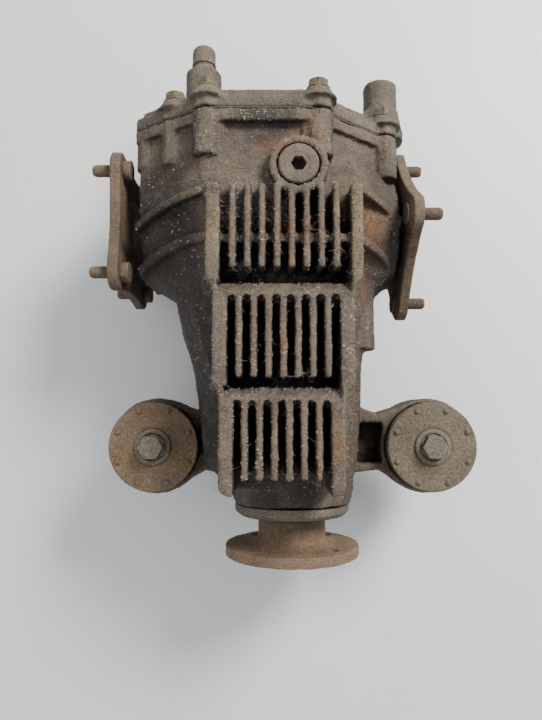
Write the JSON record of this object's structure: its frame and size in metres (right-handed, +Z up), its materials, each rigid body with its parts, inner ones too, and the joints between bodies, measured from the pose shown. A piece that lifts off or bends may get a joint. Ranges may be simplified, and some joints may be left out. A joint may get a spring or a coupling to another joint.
{
  "type": "differential gear assembly",
  "caption": "Rear-axle differential with a finned cast carrier, rear cover, rubber mounting bushes, input flange and studded output flanges, with working gears inside.",
  "frame": {"origin": "middle of the underside of the bounding box, on the floor plane that the carrier's feet stand on", "axes": "+Z up to the finned side, +Y towards the rear cover with the input flange facing -Y, +X along the axle towards the shorter output flange"},
  "size_m": [0.3064, 0.4328, 0.183],
  "materials": {
    "casting": "old sand casting, dusty brown-grey over dark oily grime with light rust",
    "cover_casting": "sand-cast, dulled olive-grey with road dirt",
    "gasket": "pressed fibre, oil-soaked",
    "zinc_steel": "yellow zinc plate worn to bare and dusty steel",
    "rusty_steel": "surface rust, tan to dark brown",
    "rubber": "dusty matt black",
    "bearing_steel": "ground and oiled"
  },
  "bodies": {
    "housing": {"carrier_housing": "casting", "rear_cover": "cover_casting", "cover_gasket": "gasket", "cover_bolt_1": "zinc_steel", "cover_bolt_2": "zinc_steel", "cover_bolt_3": "zinc_steel", "cover_bolt_4": "zinc_steel", "cover_bolt_5": "zinc_steel", "cover_bolt_6": "zinc_steel", "cover_bolt_7": "zinc_steel", "cover_bolt_8": "zinc_steel", "drain_plug": "casting", "filler_plug": "zinc_steel", "breather": "zinc_steel", "rear_mount_stud": "zinc_steel", "bearing_cap_left": "casting", "bearing_cap_right": "casting", "side_bearing_cup_left": "bearing_steel", "side_bearing_cup_right": "bearing_steel", "side_seal_left": "rubber", "side_seal_right": "rubber", "pinion_bearing_cup_inner": "bearing_steel", "pinion_bearing_cup_outer": "bearing_steel", "pinion_seal": "rubber", "bush_shell_left": "casting", "bush_rubber_left": "rubber", "bush_sleeve_left": "bearing_steel", "bush_plate_left": "rusty_steel", "bush_bolt_left": "rusty_steel", "bush_shell_right": "casting", "bush_rubber_right": "rubber", "bush_sleeve_right": "bearing_steel", "bush_plate_right": "rusty_steel", "bush_bolt_right": "rusty_steel"},
    "case": {"diff_case": "casting", "ring_gear": "bearing_steel", "cross_pin": "bearing_steel", "side_bearing_cone_left": "bearing_steel", "side_bearing_cone_right": "bearing_steel"},
    "pinion": {"drive_pinion": "bearing_steel", "pinion_bearing_cone_inner": "bearing_steel", "pinion_bearing_cone_outer": "bearing_steel", "crush_sleeve": "bearing_steel", "companion_flange": "rusty_steel", "dust_deflector": "casting", "pinion_nut": "rusty_steel"},
    "left_output": {"side_gear_left": "bearing_steel", "output_flange_left": "rusty_steel", "left_stud_1": "rusty_steel", "left_stud_2": "rusty_steel", "left_stud_3": "rusty_steel", "left_stud_4": "rusty_steel"},
    "right_output": {"side_gear_right": "bearing_steel", "output_flange_right": "rusty_steel", "right_stud_1": "rusty_steel", "right_stud_2": "rusty_steel", "right_stud_3": "rusty_steel", "right_stud_4": "rusty_steel"},
    "spider_upper": {"spider_gear_upper": "bearing_steel"},
    "spider_lower": {"spider_gear_lower": "bearing_steel"}
  },
  "joints": [
    {"name": "case_spin", "type": "hinge", "parent": "housing", "child": "case", "pos_m": [-0.00275, 0.0476, 0.09], "axis": [1, 0, 0], "continuous": true},
    {"name": "pinion_spin", "type": "hinge", "parent": "housing", "child": "pinion", "pos_m": [0.00525, -0.1024, 0.09], "axis": [0, 1, 0], "continuous": true},
    {"name": "left_output_spin", "type": "hinge", "parent": "case", "child": "left_output", "pos_m": [-0.00275, 0.0476, 0.09], "axis": [1, 0, 0], "continuous": true},
    {"name": "right_output_spin", "type": "hinge", "parent": "case", "child": "right_output", "pos_m": [-0.00275, 0.0476, 0.09], "axis": [1, 0, 0], "continuous": true},
    {"name": "spider_upper_spin", "type": "hinge", "parent": "case", "child": "spider_upper", "pos_m": [-0.00275, 0.0476, 0.09], "axis": [0, 0, 1], "continuous": true},
    {"name": "spider_lower_spin", "type": "hinge", "parent": "case", "child": "spider_lower", "pos_m": [-0.00275, 0.0476, 0.09], "axis": [0, 0, 1], "continuous": true}
  ],
  "couplings": [
    {"joint": "pinion_spin", "follows": "case_spin", "ratio": -4.125},
    {"joint": "right_output_spin", "follows": "left_output_spin", "ratio": -1},
    {"joint": "spider_upper_spin", "follows": "left_output_spin", "ratio": 1.6},
    {"joint": "spider_lower_spin", "follows": "left_output_spin", "ratio": -1.6}
  ]
}
